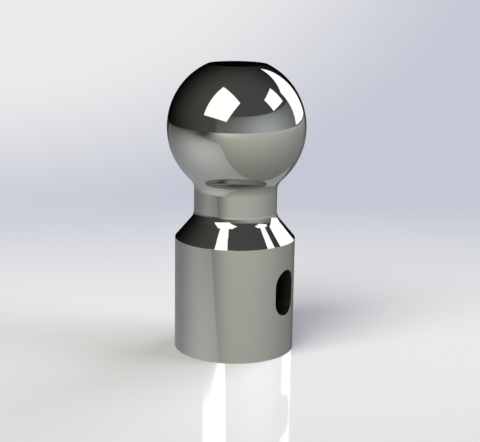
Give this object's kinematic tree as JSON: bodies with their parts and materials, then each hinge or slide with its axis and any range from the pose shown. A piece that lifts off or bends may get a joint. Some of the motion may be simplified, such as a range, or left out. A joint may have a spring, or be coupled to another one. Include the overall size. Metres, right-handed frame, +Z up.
{
  "type": "tow ball",
  "caption": "Polished steel tow ball with a faced top, a waisted neck and a coned shoulder on a plain round shank, with a tall slot through the shank for a locking pin.",
  "frame": {"origin": "middle of the flat base, on the axis that the part is turned about", "axes": "+Z up along the axis that the part is turned about, from the shank to the ball; +X along the slot through the shank"},
  "size_m": [0.0508, 0.0508, 0.1058],
  "materials": {
    "polished_steel": "polished"
  },
  "bodies": {
    "root": {"tow_ball": "polished_steel"}
  },
  "joints": []
}
